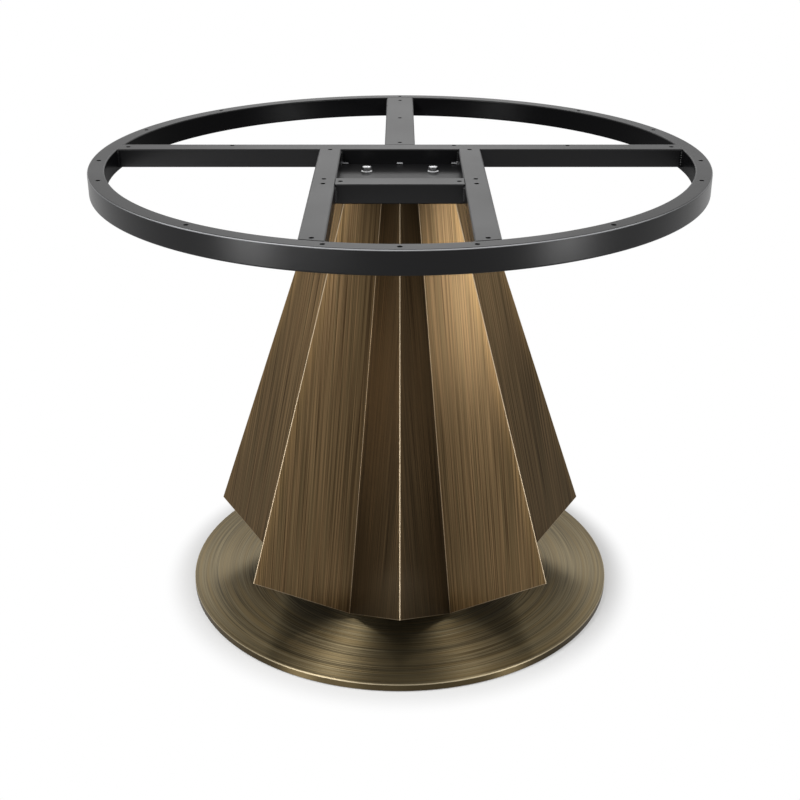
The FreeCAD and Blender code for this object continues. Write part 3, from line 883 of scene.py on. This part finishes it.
@dataclass
class FrameBolts:
    """Four hexagon flange bolts that hold the frame on the column."""

    shop: Workshop
    seat: float = 0.7
    middle_y: float = -0.047125
    spacing_x: float = 0.1
    spacing_y: float = 0.082
    across: float = 0.013
    head_height: float = 0.0081
    crown_radius: float = 0.0054
    crown_slope: float = 0.62
    flange_radius: float = 0.00875
    flange_height: float = 0.0016
    shank_radius: float = 0.004
    length: float = 0.02
    ease: float = 0.0001
    steps: int = 96

    def add_bolt(self, shape: Shape, spot: Point) -> None:
        """One bolt with its turned head, domed flange and threaded end.

        Args:
            shape: The shape that it is added to.
            spot: Where it stands.
        """
        seat, ease = self.seat, self.ease
        top, base, low = seat + self.head_height, seat + self.flange_height, seat - self.length
        shank, flange, crown = self.shank_radius, self.flange_radius, self.crown_radius

        def side(turn: float) -> float:
            """Distance to the head's side in one direction."""
            return hexagon_side(turn, self.across)

        def shoulder(turn: float) -> Point:
            """Edge where the turned corner meets the head's side."""
            return side(turn), top - max(0.0, side(turn) - crown) * self.crown_slope - ease

        rows: list[Row] = [
            (shank * 0.8, low),
            (shank, low + 8 * ease),
            (shank, seat),
            (flange - 2 * ease, seat),
            (flange, seat + 3 * ease),
            (flange, seat + 9 * ease),
            (flange - 4 * ease, seat + 13 * ease),
            lambda turn: (side(turn) + 5 * ease, base),
            lambda turn: (side(turn), base + 4 * ease),
            shoulder,
            (crown, top - ease),
            (crown - 3 * ease, top),
        ]
        lathe(shape, rows, self.steps, spot)

    def build(self) -> None:
        """Builds and places all four."""
        shape = Shape()
        for x, y in ((-1, -1), (-1, 1), (1, -1), (1, 1)):
            self.add_bolt(shape, (x * self.spacing_x / 2, self.middle_y + y * self.spacing_y / 2))
        self.shop.place(shape.piece("flange_bolts", 32.0), Slot.PLATED, "frame_bolts")


@dataclass
class Column:
    """Column inside the shell with its plates."""

    shop: Workshop

    def build(self) -> None:
        """Dresses the column's solids."""
        self.shop.dress(Slot.COLUMN, "head_plate", "column_tube", "foot_plate")
        self.shop.dress(Slot.COLUMN, "upper_star_plate", "lower_star_plate")


@dataclass
class PleatedShell:
    """Seven folded panels, on fold lines that run to one point at the front and a higher one at the back."""

    shop: Workshop
    thickness: float = 0.002
    bend_radius: float = 0.001
    ridge_radius: float = 0.313
    side_ridge_radius: float = 0.3185
    ridge_height: float = 0.1005
    ridge_top_radius: float = 0.1077
    valley_radius: float = 0.202
    valley_height: float = 0.0255
    top: float = 0.687
    front_angle: float = 47.0
    side_angle: float = 55.0
    side_ridges: tuple[int, int] = (2, 5)
    rear_rise: float = 0.033
    bend_steps: int = 6
    rows: int = 24
    edge_ease: float = 0.0003
    ease_angle: float = 40.0
    half_shift: float = 0.4
    texture_half: float = 0.5
    # Share of painted shade on each facet, 0 for none and 1 for the darkest.
    facet_shade: tuple[float, ...] = (1.0, 0.0, 0.4, 0.8, 0.5, 0.3, 0.25, 0.25, 0.25, 0.25, 0.32, 0.2, 0.16, 0.8)

    def __post_init__(self) -> None:
        """Works out the fold lines' lower ends and where they meet."""
        slope = (self.ridge_radius - self.ridge_top_radius) / (self.top - self.ridge_height)
        self.apex = Vector((0.0, 0.0, self.ridge_height + self.ridge_radius / slope))
        front = self.front_angle
        side = front + self.side_angle
        rear = side + (360.0 - 2 * side) / 3
        turns = [-90.0 + turn for turn in (0.0, front, side, rear, 360.0 - rear, 360.0 - side, 360.0 - front)]
        self.tips: list[Vector] = []
        for index, turn in enumerate(turns):
            following = turns[index + 1] if index + 1 < len(turns) else turns[0] + 360.0
            radius = self.side_ridge_radius if index in self.side_ridges else self.ridge_radius
            self.tips.append(self.tip(turn, radius, self.ridge_height))
            self.tips.append(self.tip((turn + following) / 2, self.valley_radius, self.valley_height))
        side = 2 * self.side_ridges[0]
        across = (self.tips[side] - self.apex).cross(self.tips[side - 1] - self.apex)
        self.rear_apex = self.apex + Vector((0.0, -across.z / across.y, 1.0)) * self.rear_rise

    @staticmethod
    def tip(turn: float, radius: float, height: float) -> Vector:
        """Point at a direction in degrees, a radius and a height."""
        return around((0.0, 0.0), math.radians(turn), radius, height)

    def facet_apex(self, facet: int) -> Vector:
        """Point above the frame that a facet's plane runs through."""
        first, last = self.side_ridges
        return self.rear_apex if 2 * first <= facet % len(self.tips) < 2 * last else self.apex

    def normal(self, facet: int) -> Vector:
        """Outward normal of the flat half of a panel that starts from a fold line."""
        start, end = [self.tips[i % len(self.tips)] - self.facet_apex(facet) for i in (facet, facet + 1)]
        return -end.cross(start).normalized()

    def fold_line(self, fold: int, inset: float) -> tuple[Vector, Vector]:
        """Point and direction, downward, of a fold's line at a depth inside the sheet.

        Args:
            fold: The fold line.
            inset: The depth.

        Returns:
            A point on it at the shell's top, and its direction.
        """
        planes = (self.normal(fold - 1), self.normal(fold))
        run = planes[0].cross(planes[1]).normalized()
        run = -run if run.z > 0 else run
        depths = [plane.dot(self.facet_apex(fold - 1 + side)) - inset for side, plane in enumerate(planes)]
        return Matrix((*planes, UP)).inverted() @ Vector((*depths, self.top)), run

    def sheared(self, start: Vector, run: Vector, facet: int) -> Vector:
        """Point where a line reaches the sheared lower edge of a facet.

        Args:
            start: A point of the line.
            run: Its direction.
            facet: The facet.

        Returns:
            The point on the edge.
        """
        count = len(self.tips)
        corner = self.tips[facet % count]
        across = (self.tips[(facet + 1) % count] - corner).cross(self.normal(facet))
        return start + run * ((corner - start).dot(across) / run.dot(across))

    def string(self, fold: int, inset: float, facet: int) -> tuple[Vector, Vector]:
        """Top and bottom point of a fold's line at a depth, down to the lower edge of a facet."""
        point, run = self.fold_line(fold, inset)
        return point, self.sheared(point, run, facet)

    def strings(self, number: int) -> list[tuple[Vector, Vector]]:
        """Lines that a panel's skin is stretched over, in order round it.

        Args:
            number: The panel's number from 0.

        Returns:
            Top and bottom point of each line: a valley, the bend, the other valley, and back inside.
        """
        ridge = 2 * number
        point, run = self.fold_line(ridge, 0.0)
        before, after = self.normal(ridge - 1), self.normal(ridge)
        half = before.angle(after) / 2
        towards = (before + after).normalized()
        centre = point - towards * (self.bend_radius / math.cos(half))
        side = (after - before).normalized()
        bend = []
        for step in range(self.bend_steps + 1):
            turn = -half + 2 * half * step / self.bend_steps
            start = centre + (towards * math.cos(turn) + side * math.sin(turn)) * self.bend_radius
            start = start + run * ((self.top - start.z) / run.z)
            ends = [self.sheared(start, run, facet) for facet in (ridge - 1, ridge)]
            bend.append((start, ends[0].lerp(ends[1], step / self.bend_steps)))
        return [
            self.string(ridge - 1, 0.0, ridge - 1),
            *bend,
            self.string(ridge + 1, 0.0, ridge),
            self.string(ridge + 1, self.thickness, ridge),
            self.string(ridge, self.thickness, ridge),
            self.string(ridge - 1, self.thickness, ridge - 1),
        ]

    def add_maps(self, mesh: bpy.types.Mesh, number: int) -> None:
        """Writes the maps that the finish follows.

        They hold the place across and along the brushing, the distance from the ridge and the valley, and the
        distance from the lower edge with the facet's share of painted shade.

        Args:
            mesh: The panel's mesh.
            number: The panel's number from 0.
        """
        grain, fold, edge = [mesh.uv_layers.new(name=name) for name in ("grain", "fold", "edge")]
        ridge = 2 * number
        point, run = self.fold_line(ridge, 0.0)
        towards = (self.normal(ridge) - self.normal(ridge - 1)).normalized()
        tip = self.tips[ridge]
        for face in mesh.polygons:
            side = 1 if (face.center - point).dot(towards) > 0 else -1
            facet = ridge if side > 0 else ridge - 1
            start, down = self.fold_line(ridge + side, 0.0)
            across = self.normal(facet).cross(down).normalized()
            rim = (self.tips[(ridge + side) % len(self.tips)] - tip).normalized()
            for corner in face.loop_indices:
                spot = mesh.vertices[mesh.loops[corner].vertex_index].co
                beside = spot - start
                grain.data[corner].uv = (beside.dot(across) + self.half_shift * side, beside.dot(down))
                fold.data[corner].uv = ((spot - point).cross(run).length, beside.cross(down).length)
                edge.data[corner].uv = ((spot - tip).cross(rim).length, self.facet_shade[facet])

    def make_panel(self, number: int) -> None:
        """One panel with its bend, its thickness and its eased edges.

        Args:
            number: The panel's number from 0.
        """
        shape = Shape()
        lines = self.strings(number)
        rings = []
        for row in range(self.rows + 1):
            rings.append(shape.add_ring([top.lerp(bottom, row / self.rows) for top, bottom in lines]))
        shape.loft(rings)
        middle = (len(lines) - 3) // 2
        for ring in (rings[0], rings[-1]):
            shape.faces.extend([ring[: middle + 1] + ring[-2:], ring[middle:-1]])
        piece = shape.piece(f"pleat_{number + 1}_brushed", self.ease_angle)
        self.add_maps(piece.data, number)
        piece.data.use_auto_texspace = False
        piece.data.texspace_location = (0.0, 0.0, self.top / 2)
        piece.data.texspace_size = (self.texture_half,) * 3
        ease = piece.modifiers.new("eased_edges", "BEVEL")
        ease.width = self.edge_ease
        ease.segments = 2
        ease.limit_method = "ANGLE"
        ease.angle_limit = math.radians(self.ease_angle)
        even_normals(piece)
        self.shop.place(piece, Slot.SHEET, f"pleat_{number + 1}")

    def build(self) -> None:
        """Builds all panels."""
        for number in range(len(self.tips) // 2):
            self.make_panel(number)


@dataclass
class Foot:
    """Foot disc with its screws and floor pads."""

    shop: Workshop
    radius: float = 0.3525
    low: float = 0.0015
    high: float = 0.0135
    bevel: float = 0.0015
    lower_round: float = 0.0006
    ease: float = 0.0001
    screw_circle: float = 0.095
    screw_radius: float = 0.005
    head_radius: float = 0.01
    foot_top: float = 0.0215
    socket_across: float = 0.006
    socket_depth: float = 0.004
    hole_reach: float = 0.001
    disc_steps: int = 360
    hole_steps: int = 40
    screw_steps: int = 72

    @property
    def sink_depth(self) -> float:
        """Height of a screw's countersunk head."""
        return self.head_radius - self.screw_radius

    def screw_spots(self) -> list[Point]:
        """Places of the four screws."""
        return spots_round(self.screw_circle, (45.0, 135.0, 225.0, 315.0))

    def make_disc(self) -> None:
        """Plate with a bevelled upper edge and countersunk holes."""
        edge, low, high, ease = self.radius, self.low, self.high, self.ease
        slope, inner = high - self.bevel, edge - self.bevel
        outline = [
            (0.0, low),
            (edge - self.lower_round, low),
            (edge - self.lower_round / 4, low + self.lower_round / 4),
            (edge, low + self.lower_round),
            (edge, slope - 2 * ease),
            (edge - ease, slope + ease),
            (inner + ease, high - ease),
            (inner - 3 * ease, high),
            (edge * 0.66, high),
            (edge * 0.33, high),
            (0.0, high),
        ]
        shape = Shape()
        lathe(shape, outline, self.disc_steps)
        piece = shape.piece("foot_disc_turned", 50.0)
        under, above, screw = low - self.hole_reach, high + self.hole_reach, self.screw_radius + ease
        hole = [
            (0.0, under),
            (self.head_radius + self.hole_reach + ease, under),
            (screw, low + self.sink_depth),
            (screw, above),
            (0.0, above),
        ]
        sinks = Shape()
        for spot in self.screw_spots():
            lathe(sinks, hole, self.hole_steps, spot)
        cut(piece, sinks)
        even_normals(piece)
        self.shop.place(piece, Slot.DISC, "base_disc")

    def make_screws(self) -> None:
        """Countersunk screws with hexagon sockets."""
        low, head, screw, ease = self.low, self.head_radius, self.screw_radius, self.ease
        floor = low + self.socket_depth

        def socket(turn: float) -> float:
            """Distance to the socket's side in one direction."""
            return hexagon_side(turn, self.socket_across)

        rows: list[Row] = [
            (4 * ease, floor + 7 * ease),
            lambda turn: (socket(turn) * 0.98, floor),
            lambda turn: (socket(turn), low + 2 * ease),
            lambda turn: (socket(turn) + 3 * ease, low),
            (head - 3 * ease, low),
            (head - ease, low + 2 * ease),
            (screw, low + self.sink_depth),
            (screw, self.foot_top - 8 * ease),
            (screw * 0.8, self.foot_top),
        ]
        shape = Shape()
        for spot in self.screw_spots():
            lathe(shape, rows, self.screw_steps, spot)
        self.shop.place(shape.piece("foot_screws_socket", 32.0), Slot.PLATED, "foot_screws")

    def build(self) -> None:
        """Builds and dresses the foot."""
        self.make_disc()
        self.make_screws()
        self.shop.dress(Slot.PAD, "floor_pads")


@dataclass(frozen=True)
class SoftBox:
    """One rectangular studio lamp."""

    name: str
    place: tuple[float, float, float]
    aim: tuple[float, float, float]
    width: float
    height: float
    power: float

    def build(self) -> None:
        """Sets up the lamp."""
        lamp = bpy.data.lights.new(self.name, "AREA")
        lamp.shape = "RECTANGLE"
        lamp.size = self.width
        lamp.size_y = self.height
        lamp.energy = self.power
        holder = bpy.data.objects.new(self.name, lamp)
        holder.location = self.place
        holder.rotation_euler = (Vector(self.aim) - Vector(self.place)).to_track_quat("-Z", "Y").to_euler()
        bpy.context.scene.collection.objects.link(holder)


@dataclass
class Studio:
    """Pale floor, soft lamps, white surroundings and the camera."""

    camera_place: tuple[float, float, float] = (0.0002, -1.8757, 1.18)
    camera_pitch: float = 24.696
    lens: float = 56.63
    sensor: float = 36.0
    view_end: float = 60.0
    floor_half: float = 9.0
    floor_tone: float = 0.66
    floor_mottle: float = 0.01
    floor_scale: float = 0.6
    floor_share: float = 0.3
    clear_radius: tuple[float, float] = (0.353, 0.408)
    ambient: float = 0.3
    white: Colour = (1.0, 1.0, 1.0, 1.0)
    lamps: tuple[SoftBox, ...] = (
        SoftBox("key", (-1.15, -2.35, 0.42), (0.05, 0.0, 0.52), 0.8, 0.5, 7.5),
        SoftBox("back", (0.0, 4.0, 2.4), (0.0, 0.0, 0.7), 1.5, 0.5, 7.5),
        SoftBox("left_low", (-2.0, -1.85, 0.32), (0.0, 0.0, 0.6), 0.7, 0.6, 32.0),
        SoftBox("right_low", (2.15, -1.6, 0.32), (0.0, 0.0, 0.6), 0.7, 0.6, 29.0),
        SoftBox("left_fan", (-1.0, -0.85, 2.0), (-0.1, -0.25, 0.0), 0.5, 0.5, 32.0),
        SoftBox("right_fan", (1.0, -0.85, 2.0), (0.1, -0.25, 0.0), 0.5, 0.5, 14.0),
    )

    def make_floor(self) -> None:
        """Pale floor that keeps the part's shadow and shows as white."""
        graph = Graph("studio_floor")
        place = graph.place()
        tone = self.floor_tone + (graph.noise(place, self.floor_scale) - 0.5) * self.floor_mottle
        paint = graph.node("ShaderNodeBsdfDiffuse", {}, {"Color": graph.vector(tone, tone, tone)})
        glow = graph.node("ShaderNodeEmission", {}, {"Color": self.white, "Strength": 1.0})
        x, y, _ = graph.parts(place)
        away = x.radius(y).fade(*self.clear_radius)
        share = graph.seen_directly() * (self.floor_share + away * (1.0 - self.floor_share))
        shape = Shape()
        half = self.floor_half
        corners = ((-half, -half), (half, -half), (half, half), (-half, half))
        shape.faces.append(shape.add_ring([Vector((*corner, 0.0)) for corner in corners]))
        floor = shape.piece("studio_floor")
        floor.data.materials.append(graph.end(graph.mix(share, paint, glow)))

    def make_world(self) -> None:
        """White surroundings, which light the part less than they show."""
        graph = Graph("studio", "worlds")
        strength = self.ambient + graph.seen_directly() * (1.0 - self.ambient)
        sky = graph.node("ShaderNodeBackground", {}, {"Color": self.white, "Strength": strength})
        graph.node("ShaderNodeOutputWorld", {}, {"Surface": sky})
        bpy.context.scene.world = graph.owner

    def make_camera(self) -> None:
        """Camera at the photograph's place."""
        data = bpy.data.cameras.new("camera")
        data.sensor_width = self.sensor
        data.lens = self.lens
        data.clip_end = self.view_end
        camera = bpy.data.objects.new("camera", data)
        camera.location = self.camera_place
        camera.rotation_euler = (math.radians(90.0 - self.camera_pitch), 0.0, 0.0)
        bpy.context.scene.collection.objects.link(camera)
        bpy.context.scene.camera = camera

    def build(self) -> None:
        """Sets up everything round the part."""
        self.make_floor()
        self.make_world()
        self.make_camera()
        for lamp in self.lamps:
            lamp.build()
        bpy.context.scene.view_settings.view_transform = "Standard"


def main() -> None:
    """Builds all sub-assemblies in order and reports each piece."""
    logging.basicConfig(level=logging.INFO, format="%(name)s %(message)s")
    shop = Workshop()
    table = (TopFrame(shop), FrameBolts(shop), Column(shop), PleatedShell(shop), Foot(shop), Studio())
    for sub_assembly in table:
        sub_assembly.build()
        log.info("built %s", type(sub_assembly).__name__)
        while shop.done:
            log.info("dressed %s", shop.done.pop(0))


if __name__ == "__main__":
    main()
